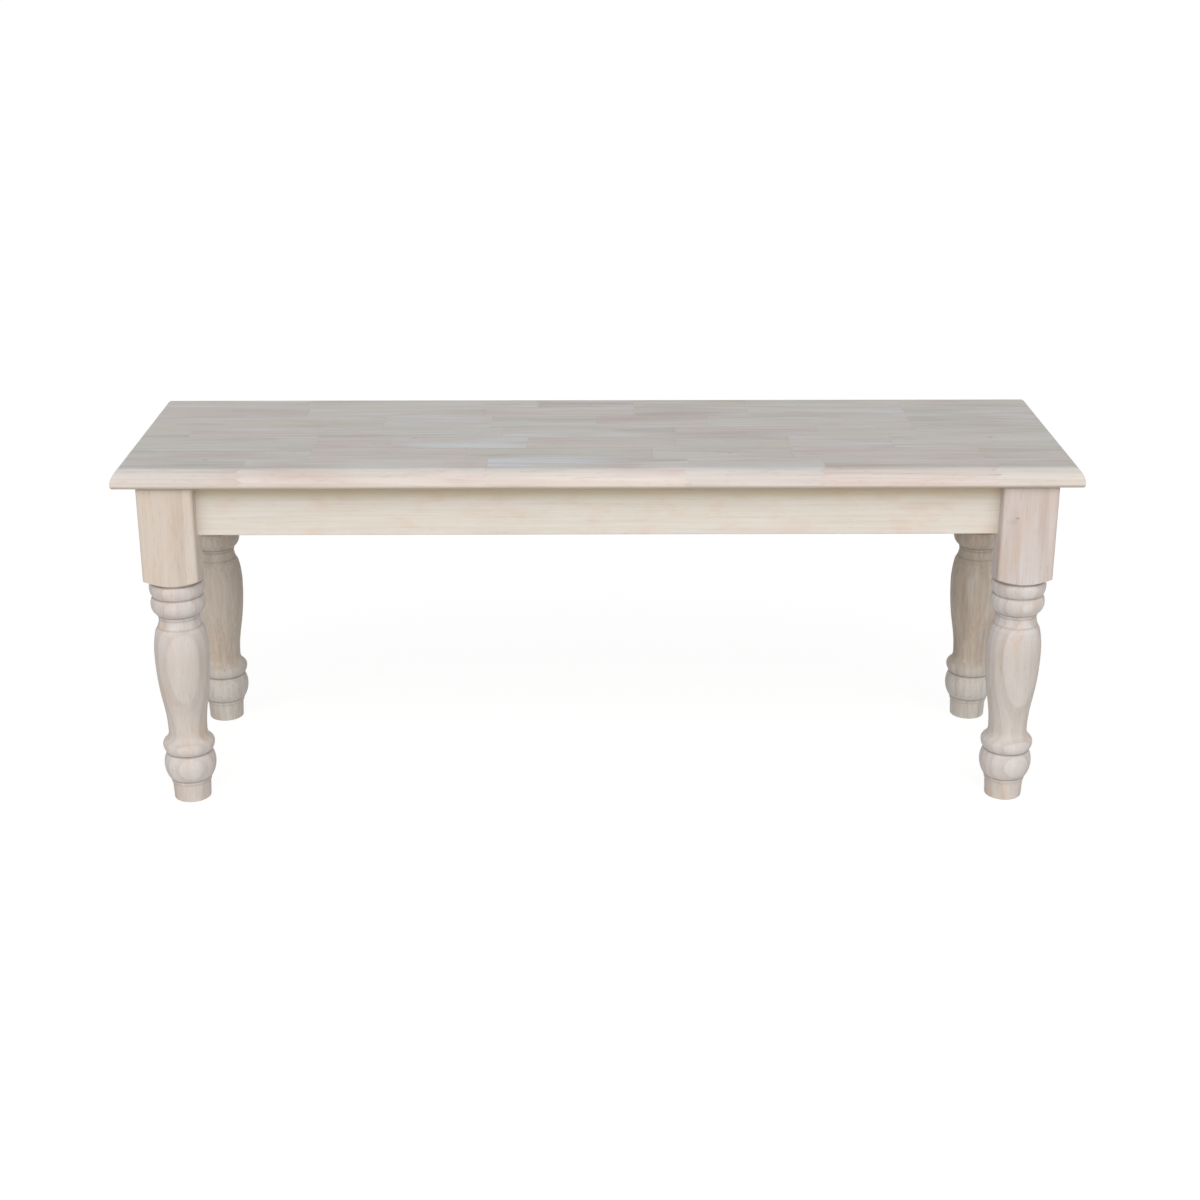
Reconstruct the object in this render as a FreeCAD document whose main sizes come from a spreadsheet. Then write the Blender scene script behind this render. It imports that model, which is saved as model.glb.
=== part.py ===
"""Dining bench: an edge-glued seat on an apron frame with four turned legs.

The floor is z = 0 and the origin is under the middle of the bench. X runs along the bench,
the front faces -Y and Z is up. All lengths are millimetres.
"""

import FreeCAD, Part
import os
import re

import Sketcher

Vector = FreeCAD.Vector

# Driving sizes, one named cell of the sheet each
SIZES = {
    # Seat
    "seat_length": 1210,
    "seat_depth": 353,
    "seat_thickness": 24,
    "bench_height": 463.5,
    "nose_reach": 11,
    "nose_level": 4.5,
    "nose_under": 1.5,
    "seat_arris_round": 8,
    "end_overhang": 28.75,
    "front_overhang": 8.5,
    # Square block at the top of each leg
    "leg_block": 70.5,
    "leg_block_height": 133.2,
    "leg_ease": 4,
    "leg_chamfer": 31,
    "shoulder_slope": 27.5,
    # Turning, from the floor up to the ankle
    "foot_base_dia": 47.8,
    "foot_top_dia": 50.2,
    "foot_height": 25,
    "foot_ease": 1.5,
    "foot_collar_dia": 52.5,
    "foot_collar_height": 5,
    "ball_low_dia": 55.2,
    "ball_dia": 67.6,
    "ball_rise": 20.5,
    "ball_fall": 16.8,
    "bead_groove_dia": 58.2,
    "bead_dia": 67.4,
    "bead_rise": 11,
    "ankle_dia": 50.2,
    "ankle_rise": 17.3,
    # Turning, from the block down to the belly of the vase
    "shoulder_groove_dia": 64.8,
    "upper_ring_dia": 70.4,
    "upper_ring_rise": 8.9,
    "upper_ring_fall": 11.3,
    "ring_groove_dia": 63.4,
    "lower_ring_dia": 69.6,
    "lower_ring_rise": 10.9,
    "lower_ring_fall": 14.2,
    "ring_low_dia": 55,
    "neck_collar_dia": 53,
    "neck_collar_height": 4.3,
    "neck_dia": 51.6,
    "cove_height": 18,
    "arris_dia": 62.6,
    "belly_dia": 70.4,
    "belly_drop": 32.4,
    # Aprons
    "apron_height": 69,
    "apron_thickness": 20,
    "apron_setback": 18.5,
    "apron_ease": 1.5,
    # Corner blocks and cleats
    "corner_block_height": 46,
    "corner_block_thickness": 24,
    "block_screw_seat": 9,
    "cleat_width": 22,
    "cleat_height": 20,
    "cleat_ease": 3,
    "cleat_end_gap": 40,
    "cleat_screw_margin": 40,
    "seat_screw_stagger": 45,
    # Fasteners
    "bolt_dia": 8,
    "bolt_grip": 36,
    "bolt_tip": 8,
    "bolt_tail": 4,
    "washer_dia": 24,
    "washer_thickness": 2,
    "nut_flats": 13,
    "nut_height": 6.5,
    "screw_dia": 4,
    "screw_head_dia": 8,
    "screw_head_height": 2.8,
    "screw_tip": 5,
    "apron_screw_cover": 4,
    "seat_screw_cover": 9,
    # Fits
    "thread_clearance": 0.1,
    "hole_clearance": 0.4,
    "head_clearance": 1,
}

STAVES = 7
SCREWS_PER_CLEAT = 4

# Where the S-curves of the turning change from hollow to round, as a share of their run
BEAD_TURN = 0.35
VASE_TURN = 0.36

# Corners of the bench: quarter turns from the front left one, and the signs of X and Y
CORNERS = {
    "front_left": (0, -1, -1),
    "front_right": (1, 1, -1),
    "rear_right": (2, 1, 1),
    "rear_left": (3, -1, 1),
}

# Places worked out from the driving sizes
SEAT_UNDERSIDE = "(bench_height - seat_thickness)"
LEG_X = "(seat_length / 2 - end_overhang - leg_block / 2)"
LEG_Y = "(seat_depth / 2 - front_overhang - leg_block / 2)"
SHOULDER = f"({SEAT_UNDERSIDE} - leg_block_height)"
APRON_FACE = "(leg_block / 2 - apron_setback)"
APRON_INSIDE = f"({APRON_FACE} - apron_thickness)"
CHAMFER_FACE = "((leg_block - leg_chamfer) / sqrt(2))"
BLOCK_FACE = f"({CHAMFER_FACE} + corner_block_thickness)"
BLOCK_NEAR = f"(leg_block - leg_chamfer + {APRON_INSIDE})"
BLOCK_FAR = f"({BLOCK_NEAR} + corner_block_thickness * sqrt(2))"
BLOCK_SCREW_PLACE = f"(({BLOCK_NEAR} + {BLOCK_FAR}) / 2)"
BOLT_LEVEL = f"({SEAT_UNDERSIDE} - corner_block_height / 2)"
CLEAT_HALF = f"({LEG_X} - {BLOCK_FAR} - cleat_end_gap)"
CLEAT_LEVEL = f"({SEAT_UNDERSIDE} - cleat_height / 2)"
CLEAT_SCREW_REACH = f"({CLEAT_HALF} - cleat_screw_margin)"
SEAT_SCREW_REACH = f"({CLEAT_SCREW_REACH} - seat_screw_stagger)"
SEAT_SCREW_LINE = f"({LEG_Y} + {APRON_INSIDE} - cleat_width / 2)"

doc = FreeCAD.newDocument("dining_bench")
sheet = doc.addObject("Spreadsheet::Sheet", "sizes")
for row, (alias, size) in enumerate(SIZES.items(), 1):
    sheet.set(f"A{row}", alias)
    sheet.set(f"B{row}", str(size))
    sheet.setAlias(f"B{row}", alias)
doc.recompute()


def formula(text):
    """Turn size names into references to the sheet's cells."""
    return re.sub(r"[a-z_]+", lambda word: f"sizes.{word[0]}" if word[0] in SIZES else word[0], text)


def value(text):
    """Give the number that a formula comes to."""
    return float(sheet.evalExpression(formula(text)))


def bind(item, setting, text):
    """Tie a property of a document object to the sheet."""
    item.setExpression(setting, formula(text))


# Sketches

def new_body(label):
    body = doc.addObject("PartDesign::Body", label)
    body.Label = label
    return body


def origin(body, role):
    return next(item for item in body.Origin.OriginFeatures if item.Role == role)


def new_sketch(body, plane, place=("0", "0", "0"), axis=Vector(0, 0, 1), angle=0):
    """Attach a sketch to a plane of the body's origin, shifted and turned within that plane's frame."""
    sketch = body.newObject("Sketcher::SketchObject", body.Name + "_sketch")
    sketch.AttachmentSupport = (origin(body, plane), [""])
    sketch.MapMode = "FlatFace"
    sketch.AttachmentOffset = FreeCAD.Placement(Vector(), FreeCAD.Rotation(axis, angle))
    for letter, text in zip("xyz", place):
        bind(sketch, f"AttachmentOffset.Base.{letter}", text)
    return sketch


def dimension(sketch, kind, name, text, *ends):
    """Add a named dimension that follows the sheet."""
    number = sketch.addConstraint(Sketcher.Constraint(kind, *ends, value(text)))
    sketch.renameConstraint(number, name)
    bind(sketch, f"Constraints.{name}", text)


def level_arc(level, other):
    """Arc between two points whose centre is level with the first, so it leaves that point upright."""
    rise = other.y - level.y
    centre = Vector((level.x**2 - other.x**2 - rise**2) / (2 * (level.x - other.x)), level.y)
    middle = ((level - centre) + (other - centre)).normalize() * (level - centre).Length
    return Part.ArcOfCircle(level, centre + middle, other)


def outline(sketch, points):
    """Close an outline through named points: (name, across, up, run on to the next point).

    A run is "line", or an arc whose centre is level with the point it leaves ("arc_from")
    or with the point it reaches ("arc_to").
    """
    spots = [Vector(value(across), value(up)) for name, across, up, run in points]
    ends = []
    for index, (name, across, up, run) in enumerate(points):
        start = spots[index]
        finish = spots[(index + 1) % len(spots)]
        if run == "line":
            edge = Part.LineSegment(start, finish)
        elif run == "arc_from":
            edge = level_arc(start, finish)
        else:
            edge = level_arc(finish, start)
        number = sketch.addGeometry(edge, False)
        forward = sketch.getPoint(number, 1).distanceToPoint(start) < 1e-6
        first, last = (1, 2) if forward else (2, 1)
        ends.append((number, first, last))
        if run != "line":
            level = first if run == "arc_from" else last
            sketch.addConstraint(Sketcher.Constraint("Horizontal", number, 3, number, level))
    for index, (name, across, up, run) in enumerate(points):
        number, first, last = ends[index]
        previous, _, previous_last = ends[index - 1]
        sketch.addConstraint(Sketcher.Constraint("Coincident", previous, previous_last, number, first))
        dimension(sketch, "DistanceX", f"{name}_across", across, -1, 1, number, first)
        dimension(sketch, "DistanceY", f"{name}_up", up, -1, 1, number, first)


def rectangle(left, right, low, high):
    """Corner points of an upright rectangle for outline()."""
    return [
        ("low_left", left, low, "line"),
        ("low_right", right, low, "line"),
        ("high_right", right, high, "line"),
        ("high_left", left, high, "line"),
    ]


def circle(sketch, across, up, diameter):
    centre = Vector(value(across), value(up))
    number = sketch.addGeometry(Part.Circle(centre, Vector(0, 0, 1), value(diameter) / 2), False)
    dimension(sketch, "DistanceX", f"circle_{number}_across", across, -1, 1, number, 3)
    dimension(sketch, "DistanceY", f"circle_{number}_up", up, -1, 1, number, 3)
    dimension(sketch, "Diameter", f"circle_{number}_diameter", diameter, number)


# Features

def pad(body, sketch, length, side="One side"):
    feature = body.newObject("PartDesign::Pad", body.Name + "_pad")
    feature.Profile = sketch
    feature.SideType = side
    bind(feature, "Length", length)
    doc.recompute()
    return feature


def cut_check(body, before, feature):
    """Stop where a cut took nothing away."""
    doc.recompute()
    if not feature.Shape.Volume < before - 1e-3:
        raise RuntimeError(f"{body.Label}: {feature.Name} cuts nothing")


def pocket(body, sketch, length, reverse=False, side="One side"):
    before = body.Shape.Volume
    feature = body.newObject("PartDesign::Pocket", body.Name + "_pocket")
    feature.Profile = sketch
    feature.SideType = side
    feature.Reversed = reverse
    bind(feature, "Length", length)
    cut_check(body, before, feature)
    return feature


def groove(body, sketch, axis):
    before = body.Shape.Volume
    feature = body.newObject("PartDesign::Groove", body.Name + "_groove")
    feature.Profile = sketch
    feature.ReferenceAxis = (sketch, [axis])
    cut_check(body, before, feature)


def revolve(body, sketch, axis):
    feature = body.newObject("PartDesign::Revolution", body.Name + "_revolve")
    feature.Profile = sketch
    feature.ReferenceAxis = (sketch, [axis])
    doc.recompute()
    return feature


def ease(body, chosen, size, kind="Fillet"):
    """Round or chamfer the edges of the body that the test picks."""
    tip = body.Tip
    edges = [f"Edge{number}" for number, edge in enumerate(tip.Shape.Edges, 1) if chosen(edge)]
    feature = body.newObject(f"PartDesign::{kind}", f"{body.Name}_ease")
    feature.Base = (tip, edges)
    bind(feature, "Radius" if kind == "Fillet" else "Size", size)
    doc.recompute()


def repeat(body, feature, axis, length, count):
    """Repeat a feature evenly over a length along an axis of the body."""
    pattern = body.newObject("PartDesign::LinearPattern", body.Name + "_repeat")
    pattern.Originals = [feature]
    pattern.Direction = (origin(body, axis), [""])
    pattern.Occurrences = count
    bind(pattern, "Length", length)
    body.Tip = pattern
    doc.recompute()


def mirror(body, plane):
    """Mirror everything in the body across one of its origin planes."""
    mirrored = body.newObject("PartDesign::Mirrored", body.Name + "_mirror")
    mirrored.TransformMode = "Whole shape"
    mirrored.MirrorPlane = (origin(body, plane), [""])
    body.Tip = mirrored
    doc.recompute()


def place(body, x_place, y_place, angle):
    """Turn a body about the vertical and move it over the floor."""
    body.Placement = FreeCAD.Placement(Vector(), FreeCAD.Rotation(Vector(0, 0, 1), angle))
    bind(body, "Placement.Base.x", x_place)
    bind(body, "Placement.Base.y", y_place)
    doc.recompute()


def upright(edge):
    return edge.BoundBox.XLength < 1e-6 and edge.BoundBox.YLength < 1e-6


def at_level(text):
    """Test for edges that lie at one height."""
    height = value(text)

    def chosen(edge):
        return abs(edge.BoundBox.ZMin - height) < 1e-4 and abs(edge.BoundBox.ZMax - height) < 1e-4
    return chosen


# Legs

def share(first, second, part):
    """Formula for a place part of the way from one formula to another."""
    return f"({first} + ({second} - {first}) * {part})"


def turning():
    """Half section of the turned part, from the floor up, as points for outline()."""
    collar_top = "(foot_height + foot_collar_height)"
    ball = f"({collar_top} + ball_rise)"
    bead_groove = f"({ball} + ball_fall)"
    bead = f"({bead_groove} + bead_rise)"
    ankle = f"({bead} + ankle_rise)"
    upper_ring = f"({SHOULDER} - upper_ring_rise)"
    ring_groove = f"({upper_ring} - upper_ring_fall)"
    lower_ring = f"({ring_groove} - lower_ring_rise)"
    ring_low = f"({lower_ring} - lower_ring_fall)"
    neck = f"({ring_low} - neck_collar_height)"
    arris = f"({neck} - cove_height)"
    belly = f"({arris} - belly_drop)"
    bead_turn = share("bead_dia", "ankle_dia", BEAD_TURN)
    vase_turn = share("ankle_dia", "belly_dia", VASE_TURN)
    shoulder_rise = "(leg_block - shoulder_groove_dia / 2) * tan(shoulder_slope)"
    return [
        ("foot_base", "foot_base_dia / 2", "0", "line"),
        ("foot_top", "foot_top_dia / 2", "foot_height", "line"),
        ("collar_low", "foot_collar_dia / 2", "foot_height", "line"),
        ("collar_top", "foot_collar_dia / 2", collar_top, "line"),
        ("ball_low", "ball_low_dia / 2", collar_top, "arc_to"),
        ("ball", "ball_dia / 2", ball, "arc_from"),
        ("bead_groove", "bead_groove_dia / 2", bead_groove, "arc_to"),
        ("bead", "bead_dia / 2", bead, "arc_from"),
        ("bead_turn", f"{bead_turn} / 2", share(bead, ankle, BEAD_TURN), "arc_to"),
        ("ankle", "ankle_dia / 2", ankle, "arc_from"),
        ("vase_turn", f"{vase_turn} / 2", share(ankle, belly, VASE_TURN), "arc_to"),
        ("belly", "belly_dia / 2", belly, "arc_from"),
        ("arris", "arris_dia / 2", arris, "arc_to"),
        ("neck", "neck_dia / 2", neck, "line"),
        ("neck_collar_low", "neck_collar_dia / 2", neck, "line"),
        ("neck_collar_top", "neck_collar_dia / 2", ring_low, "line"),
        ("ring_low", "ring_low_dia / 2", ring_low, "arc_to"),
        ("lower_ring", "lower_ring_dia / 2", lower_ring, "arc_from"),
        ("ring_groove", "ring_groove_dia / 2", ring_groove, "arc_to"),
        ("upper_ring", "upper_ring_dia / 2", upper_ring, "arc_from"),
        ("shoulder_groove", "shoulder_groove_dia / 2", SHOULDER, "line"),
        ("waste_high", "leg_block", f"{SHOULDER} + {shoulder_rise}", "line"),
        ("waste_low", "leg_block", "0", "line"),
    ]


def make_leg(corner):
    """Square blank, turned below the block, with its inner corner cut back for the corner block."""
    turns, x_sign, y_sign = CORNERS[corner]
    leg = new_body(f"leg_{corner}")

    blank = new_sketch(leg, "XY_Plane")
    outline(blank, rectangle("-leg_block / 2", "leg_block / 2", "-leg_block / 2", "leg_block / 2"))
    pad(leg, blank, SEAT_UNDERSIDE)
    ease(leg, upright, "leg_ease")

    waste = new_sketch(leg, "XZ_Plane")
    outline(waste, turning())
    groove(leg, waste, "V_Axis")
    ease(leg, at_level("0"), "foot_ease")

    inner_corner = new_sketch(leg, "XY_Plane", ("0", "0", SEAT_UNDERSIDE))
    outline(inner_corner, [
        ("start", "leg_block / 2 - leg_chamfer", "leg_block / 2", "line"),
        ("corner", "leg_block / 2", "leg_block / 2", "line"),
        ("finish", "leg_block / 2", "leg_block / 2 - leg_chamfer", "line"),
    ])
    pocket(leg, inner_corner, "leg_block_height")

    bolt_hole = diagonal_sketch(leg, f"{CHAMFER_FACE} - bolt_grip")
    circle(bolt_hole, "0", "0", "bolt_dia + thread_clearance")
    pocket(leg, bolt_hole, "bolt_grip", reverse=True)

    place(leg, f"{LEG_X} * {x_sign}", f"{LEG_Y} * {y_sign}", 90 * turns)
    return leg


def diagonal_sketch(body, distance):
    """Sketch square to the inward diagonal of a corner, at the bolt's level, a distance from the leg's axis."""
    offset = f"({distance}) / sqrt(2)"
    return new_sketch(body, "YZ_Plane", (offset, BOLT_LEVEL, offset), Vector(0, 1, 0), 45)


# Seat

def make_seat():
    """Panel with a rounded nose all round and screw holes below, sawn apart along its glue lines."""
    panel = new_body("seat_panel")
    nose = f"({SEAT_UNDERSIDE} + nose_level)"
    section = new_sketch(panel, "YZ_Plane")
    outline(section, [
        ("front_low", "nose_under - seat_depth / 2", SEAT_UNDERSIDE, "line"),
        ("rear_low", "seat_depth / 2 - nose_under", SEAT_UNDERSIDE, "arc_to"),
        ("rear_nose", "seat_depth / 2", nose, "arc_from"),
        ("rear_top", "seat_depth / 2 - nose_reach", "bench_height", "line"),
        ("front_top", "nose_reach - seat_depth / 2", "bench_height", "arc_to"),
        ("front_nose", "-seat_depth / 2", nose, "arc_from"),
    ])
    pad(panel, section, "seat_length + 2 * nose_reach", "Symmetric")
    for side in (-1, 1):
        waste = new_sketch(panel, "XZ_Plane")
        outline(waste, [
            ("low", f"(seat_length / 2 - nose_under) * {side}", SEAT_UNDERSIDE, "arc_to"),
            ("nose", f"seat_length / 2 * {side}", nose, "arc_from"),
            ("top", f"(seat_length / 2 - nose_reach) * {side}", "bench_height", "line"),
            ("waste_top", f"(seat_length / 2 + nose_reach) * {side}", "bench_height", "line"),
            ("waste_low", f"(seat_length / 2 + nose_reach) * {side}", SEAT_UNDERSIDE, "line"),
        ])
        pocket(panel, waste, "seat_depth", side="Symmetric")
    ease(panel, at_level("bench_height"), "seat_arris_round")

    for side in (-1, 1):
        hole = new_sketch(panel, "XY_Plane", ("0", "0", SEAT_UNDERSIDE))
        circle(hole, f"-{SEAT_SCREW_REACH}", f"{SEAT_SCREW_LINE} * {side}", "screw_dia + thread_clearance")
        drilled = pocket(panel, hole, "seat_thickness - seat_screw_cover", reverse=True)
        repeat(panel, drilled, "X_Axis", f"2 * {SEAT_SCREW_REACH}", SCREWS_PER_CLEAT)

    staves = []
    for number in range(STAVES):
        slab = doc.addObject("Part::Box", f"stave_slab_{number + 1}")
        bind(slab, "Length", "seat_length")
        bind(slab, "Width", f"seat_depth / {STAVES}")
        bind(slab, "Height", "seat_thickness")
        bind(slab, "Placement.Base.x", "-seat_length / 2")
        bind(slab, "Placement.Base.y", f"seat_depth * ({number} / {STAVES} - 0.5)")
        bind(slab, "Placement.Base.z", SEAT_UNDERSIDE)
        stave = doc.addObject("Part::Common", f"seat_stave_{number + 1}")
        stave.Base = panel
        stave.Tool = slab
        staves.append(stave)
    doc.recompute()
    return staves


# Aprons

def make_apron(label, half_length, x_place, y_place, angle, cleat_screws):
    """Rail along X with its outer face at y = 0, drilled from the inside."""
    apron = new_body(label)
    section = new_sketch(apron, "YZ_Plane")
    outline(section, rectangle("0", "apron_thickness", f"{SEAT_UNDERSIDE} - apron_height", SEAT_UNDERSIDE))
    pad(apron, section, f"2 * {half_length}", "Symmetric")
    low = at_level(f"{SEAT_UNDERSIDE} - apron_height")
    ease(apron, lambda edge: low(edge) and edge.BoundBox.YLength < 1e-6, "apron_ease")

    for side in (-1, 1):
        hole = new_sketch(apron, "XZ_Plane", ("0", "0", "-apron_thickness"))
        end = f"({half_length} + leg_block / 2 - {BLOCK_SCREW_PLACE})"
        circle(hole, f"{end} * {side}", BOLT_LEVEL, "screw_dia + thread_clearance")
        pocket(apron, hole, "apron_thickness - apron_screw_cover", reverse=True)
    if cleat_screws:
        hole = new_sketch(apron, "XZ_Plane", ("0", "0", "-apron_thickness"))
        circle(hole, f"-{CLEAT_SCREW_REACH}", CLEAT_LEVEL, "screw_dia + thread_clearance")
        drilled = pocket(apron, hole, "apron_thickness - apron_screw_cover", reverse=True)
        repeat(apron, drilled, "X_Axis", f"2 * {CLEAT_SCREW_REACH}", SCREWS_PER_CLEAT)
    place(apron, x_place, y_place, angle)
    return apron


def make_aprons():
    along = f"({LEG_X} - leg_block / 2)"
    across = f"({LEG_Y} - leg_block / 2)"
    x_face = f"({LEG_X} + {APRON_FACE})"
    y_face = f"({LEG_Y} + {APRON_FACE})"
    return [
        make_apron("front_apron", along, "0", f"-{y_face}", 0, True),
        make_apron("rear_apron", along, "0", y_face, 180, True),
        make_apron("left_apron", across, f"-{x_face}", "0", -90, False),
        make_apron("right_apron", across, x_face, "0", 90, False),
    ]


# Corner blocks and cleats

def make_corner_block(corner):
    """Block across an inside corner, mitred to seat on both aprons, with its outer face on the leg."""
    turns, x_sign, y_sign = CORNERS[corner]
    block = new_body(f"corner_block_{corner}")
    plan = new_sketch(block, "XY_Plane", ("0", "0", f"{SEAT_UNDERSIDE} - corner_block_height"))
    wall = f"-{APRON_INSIDE}"
    outline(plan, [
        ("near_along", BLOCK_NEAR, wall, "line"),
        ("far_along", BLOCK_FAR, wall, "line"),
        ("far_across", wall, BLOCK_FAR, "line"),
        ("near_across", wall, BLOCK_NEAR, "line"),
    ])
    pad(block, plan, "corner_block_height")

    bolt_hole = diagonal_sketch(block, CHAMFER_FACE)
    circle(bolt_hole, "0", "0", "bolt_dia + hole_clearance")
    pocket(block, bolt_hole, "corner_block_thickness", reverse=True)

    seat_level = f"({wall} + block_screw_seat)"
    for plane, level, inward in (("XZ_Plane", f"-{seat_level}", False), ("YZ_Plane", seat_level, True)):
        head = new_sketch(block, plane, ("0", "0", level))
        circle(head, BLOCK_SCREW_PLACE, BOLT_LEVEL, "screw_head_dia + head_clearance")
        pocket(block, head, BLOCK_FAR, reverse=inward)
        shank = new_sketch(block, plane, ("0", "0", level))
        circle(shank, BLOCK_SCREW_PLACE, BOLT_LEVEL, "screw_dia + hole_clearance")
        pocket(block, shank, "block_screw_seat", reverse=not inward)
    place(block, f"{LEG_X} * {x_sign}", f"{LEG_Y} * {y_sign}", 90 * turns)
    return block


def make_cleat(label, y_sign):
    """Batten along X with its back at y = 0, drilled for screws into the apron and up into the seat."""
    cleat = new_body(label)
    section = new_sketch(cleat, "YZ_Plane")
    outline(section, rectangle("0", "cleat_width", f"{SEAT_UNDERSIDE} - cleat_height", SEAT_UNDERSIDE))
    pad(cleat, section, f"2 * {CLEAT_HALF}", "Symmetric")
    low = at_level(f"{SEAT_UNDERSIDE} - cleat_height")
    inner = value("cleat_width")
    ease(cleat, lambda edge: low(edge) and abs(edge.BoundBox.YMin - inner) < 1e-4, "cleat_ease", "Chamfer")

    into_apron = new_sketch(cleat, "XZ_Plane", ("0", "0", "-cleat_width"))
    circle(into_apron, f"-{CLEAT_SCREW_REACH}", CLEAT_LEVEL, "screw_dia + hole_clearance")
    drilled = pocket(cleat, into_apron, "cleat_width", reverse=True)
    repeat(cleat, drilled, "X_Axis", f"2 * {CLEAT_SCREW_REACH}", SCREWS_PER_CLEAT)

    into_seat = new_sketch(cleat, "XY_Plane", ("0", "0", f"{SEAT_UNDERSIDE} - cleat_height"))
    circle(into_seat, f"-{SEAT_SCREW_REACH}", "cleat_width / 2", "screw_dia + hole_clearance")
    drilled = pocket(cleat, into_seat, "cleat_height", reverse=True)
    repeat(cleat, drilled, "X_Axis", f"2 * {SEAT_SCREW_REACH}", SCREWS_PER_CLEAT)
    place(cleat, "0", f"({LEG_Y} + {APRON_INSIDE}) * {y_sign}", 0 if y_sign < 0 else 180)
    return cleat


# Fasteners

def at_each_corner(body):
    """Mirror what stands at the front left corner to the other three."""
    mirror(body, "YZ_Plane")
    mirror(body, "XZ_Plane")


def bolt_axis_sketch(body):
    """Sketch at the front left corner whose X runs along the bolt, from the leg's axis inwards."""
    return new_sketch(body, "XY_Plane", (f"-{LEG_X}", f"-{LEG_Y}", BOLT_LEVEL), Vector(0, 0, 1), 45)


def make_bolts():
    """Hanger bolts: pointed in the leg, square-ended past the nut."""
    bolts = new_body("hanger_bolts")
    start = f"({CHAMFER_FACE} - bolt_grip)"
    finish = f"({BLOCK_FACE} + washer_thickness + nut_height + bolt_tail)"
    section = bolt_axis_sketch(bolts)
    outline(section, [
        ("point", start, "0", "line"),
        ("shank_start", f"{start} + bolt_tip", "bolt_dia / 2", "line"),
        ("shank_end", finish, "bolt_dia / 2", "line"),
        ("end", finish, "0", "line"),
    ])
    revolve(bolts, section, "H_Axis")
    at_each_corner(bolts)
    return bolts


def make_washers():
    washers = new_body("washers")
    section = bolt_axis_sketch(washers)
    hole = "(bolt_dia + hole_clearance) / 2"
    outline(section, rectangle(BLOCK_FACE, f"{BLOCK_FACE} + washer_thickness", hole, "washer_dia / 2"))
    revolve(washers, section, "H_Axis")
    at_each_corner(washers)
    return washers


def make_nuts():
    """Hexagon nuts on the washers."""
    nuts = new_body("nuts")
    offset = f"({BLOCK_FACE} + washer_thickness) / sqrt(2)"
    place_on_bolt = (f"{offset} - {LEG_Y}", BOLT_LEVEL, f"{offset} - {LEG_X}")
    section = new_sketch(nuts, "YZ_Plane", place_on_bolt, Vector(0, 1, 0), 45)
    radius = "nut_flats / sqrt(3)"
    outline(section, [
        (f"corner_{step}", f"{radius} * cos({60 * step})", f"{radius} * sin({60 * step})", "line")
        for step in range(6)
    ])
    circle(section, "0", "0", "bolt_dia + thread_clearance")
    pad(nuts, section, "nut_height")
    at_each_corner(nuts)
    return nuts


def screw(body, sketch, length):
    """Round-headed screw whose head sits at the sketch's origin and whose tip points along its X."""
    outline(sketch, [
        ("crown", "-screw_head_height", "0", "arc_from"),
        ("head_edge", "0", "screw_head_dia / 2", "line"),
        ("shank_start", "0", "screw_dia / 2", "line"),
        ("shank_end", f"{length} - screw_tip", "screw_dia / 2", "line"),
        ("tip", length, "0", "line"),
    ])
    return revolve(body, sketch, "H_Axis")


def make_block_screws():
    """One screw through each mitred end of each corner block."""
    screws = new_body("corner_block_screws")
    length = "(block_screw_seat + apron_thickness - apron_screw_cover)"
    head = f"(block_screw_seat - {APRON_INSIDE})"
    for along, across, angle in ((BLOCK_SCREW_PLACE, head, -90), (head, BLOCK_SCREW_PLACE, 180)):
        corner = (f"{along} - {LEG_X}", f"{across} - {LEG_Y}", BOLT_LEVEL)
        screw(screws, new_sketch(screws, "XY_Plane", corner, Vector(0, 0, 1), angle), length)
    at_each_corner(screws)
    return screws


def make_cleat_screws():
    """Level screws through the cleats into the long aprons."""
    screws = new_body("cleat_screws")
    head = (f"-{CLEAT_SCREW_REACH}", f"cleat_width - {LEG_Y} - {APRON_INSIDE}", CLEAT_LEVEL)
    first = new_sketch(screws, "XY_Plane", head, Vector(0, 0, 1), -90)
    driven = screw(screws, first, "(cleat_width + apron_thickness - apron_screw_cover)")
    repeat(screws, driven, "X_Axis", f"2 * {CLEAT_SCREW_REACH}", SCREWS_PER_CLEAT)
    mirror(screws, "XZ_Plane")
    return screws


def make_seat_screws():
    """Upright screws through the cleats into the seat."""
    screws = new_body("seat_screws")
    head = (f"-{SEAT_SCREW_REACH}", f"{SEAT_UNDERSIDE} - cleat_height", SEAT_SCREW_LINE)
    first = new_sketch(screws, "XZ_Plane", head, Vector(0, 0, 1), 90)
    driven = screw(screws, first, "(cleat_height + seat_thickness - seat_screw_cover)")
    repeat(screws, driven, "X_Axis", f"2 * {SEAT_SCREW_REACH}", SCREWS_PER_CLEAT)
    mirror(screws, "XZ_Plane")
    return screws


def make_bench():
    pieces = make_seat()
    pieces += make_aprons()
    for corner in CORNERS:
        pieces += [make_leg(corner), make_corner_block(corner)]
    pieces += [make_cleat("front_cleat", -1), make_cleat("rear_cleat", 1)]
    pieces += [make_bolts(), make_washers(), make_nuts()]
    pieces += [make_block_screws(), make_cleat_screws(), make_seat_screws()]
    return pieces


def check(pieces):
    """Stop if any object failed or any piece has no sound shape."""
    for item in doc.Objects:
        if "Invalid" in item.State or "Error" in item.State:
            raise RuntimeError(f"{item.Label} failed: {item.State}")
    for piece in pieces:
        if piece.Shape.isNull() or not piece.Shape.isValid():
            raise RuntimeError(f"{piece.Label} has no valid shape")


def export(pieces):
    os.makedirs("parts", exist_ok=True)
    for piece in pieces:
        piece.Shape.exportStep(f"parts/{piece.Label}.step")
        print(piece.Label, len(piece.Shape.Solids), "solids", round(piece.Shape.Volume), "mm3")


bench = make_bench()
doc.recompute()
check(bench)
export(bench)
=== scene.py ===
"""Finish for a dining bench: a seat of pale glued blocks on an apron frame with turned legs."""

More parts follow.
